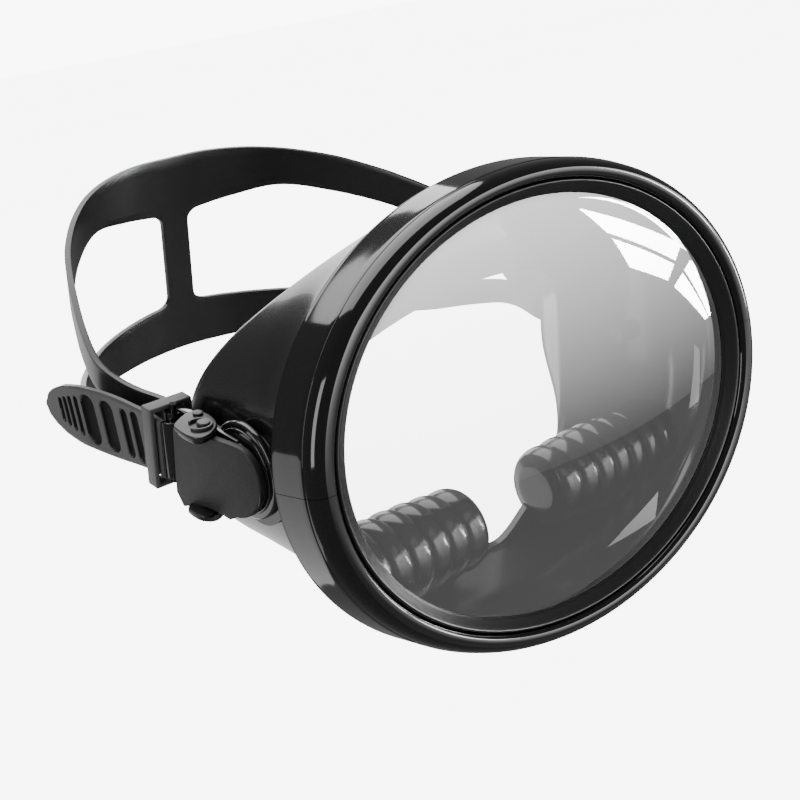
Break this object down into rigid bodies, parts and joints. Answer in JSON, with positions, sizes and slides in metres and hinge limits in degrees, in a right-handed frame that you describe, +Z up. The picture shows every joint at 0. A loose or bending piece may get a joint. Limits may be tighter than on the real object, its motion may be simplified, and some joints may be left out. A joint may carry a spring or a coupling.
{
  "type": "diving mask",
  "caption": "Oval single-window diving mask: domed clear lens in a glossy split rim, soft skirt with ribbed nose bellows, swivel buckles and a split rubber head strap.",
  "frame": {"origin": "middle of the face seal, where the wearer's face holds the mask, level with the lens", "axes": "+X to the right of someone facing the lens, +Y towards the wearer's head, +Z up"},
  "size_m": [0.191, 0.2073, 0.1447],
  "materials": {
    "rim": "gloss black",
    "bezel": "satin black",
    "lens": "clear",
    "silicone": "glossy black silicone",
    "buckle": "moulded black",
    "cover": "fine matte dark grey",
    "keeper": "matte mid grey",
    "pin": "satin dark grey",
    "roller": "gloss black",
    "steel": "stainless",
    "strap": "satin black",
    "tail": "satin grey-black"
  },
  "bodies": {
    "mask": {"rim_upper": "rim", "rim_lower": "rim", "rim_dowels": "steel", "lens": "lens", "lens_bezel": "bezel", "lens_gasket": "silicone", "skirt": "silicone", "swivel_boss_left": "silicone", "swivel_boss_right": "silicone", "swivel_stud_left": "buckle", "swivel_stud_right": "buckle"},
    "harness": {"head_strap": "strap", "buckle_base_left": "buckle", "buckle_base_right": "buckle", "cover_pin_left": "pin", "cover_pin_right": "pin", "roller_axle_left": "steel", "roller_axle_right": "steel", "strap_keeper_left": "keeper", "strap_keeper_right": "keeper", "strap_tail_left": "tail", "strap_tail_right": "tail"},
    "cover_left": {"release_cover_left": "cover"},
    "roller_left": {"strap_roller_left": "roller"},
    "bellows_left": {"nose_bellows_left": "silicone"},
    "cover_right": {"release_cover_right": "cover"},
    "roller_right": {"strap_roller_right": "roller"},
    "bellows_right": {"nose_bellows_right": "silicone"}
  },
  "joints": [
    {"name": "strap_tilt", "type": "hinge", "parent": "mask", "child": "harness", "pos_m": [0, -0.0214, -0.00185], "axis": [1, 0, 0], "range_deg": [-70, 45]},
    {"name": "cover_lift_left", "type": "hinge", "parent": "harness", "child": "cover_left", "pos_m": [-0.082, -0.00782, 0.00154], "axis": [0, 0.2419, -0.9703], "range_deg": [0, 9], "stiffness_Nm_per_rad": 0.05, "springref_deg": -2.86},
    {"name": "roller_spin_left", "type": "hinge", "parent": "harness", "child": "roller_left", "pos_m": [-0.081, 0.01023, 0.00604], "axis": [0, -0.2419, 0.9703], "continuous": true},
    {"name": "nose_pinch_left", "type": "slide", "parent": "mask", "child": "bellows_left", "axis": [1, 0, 0], "range_m": [0, 0.006], "stiffness_N_per_m": 200, "springref_m": -0.0005},
    {"name": "cover_lift_right", "type": "hinge", "parent": "harness", "child": "cover_right", "pos_m": [0.082, -0.00782, 0.00154], "axis": [0, -0.2419, 0.9703], "range_deg": [0, 9], "stiffness_Nm_per_rad": 0.05, "springref_deg": -2.86},
    {"name": "roller_spin_right", "type": "hinge", "parent": "harness", "child": "roller_right", "pos_m": [0.081, 0.01023, 0.00604], "axis": [0, -0.2419, 0.9703], "continuous": true},
    {"name": "nose_pinch_right", "type": "slide", "parent": "mask", "child": "bellows_right", "axis": [-1, 0, 0], "range_m": [0, 0.006], "stiffness_N_per_m": 200, "springref_m": -0.0005}
  ]
}
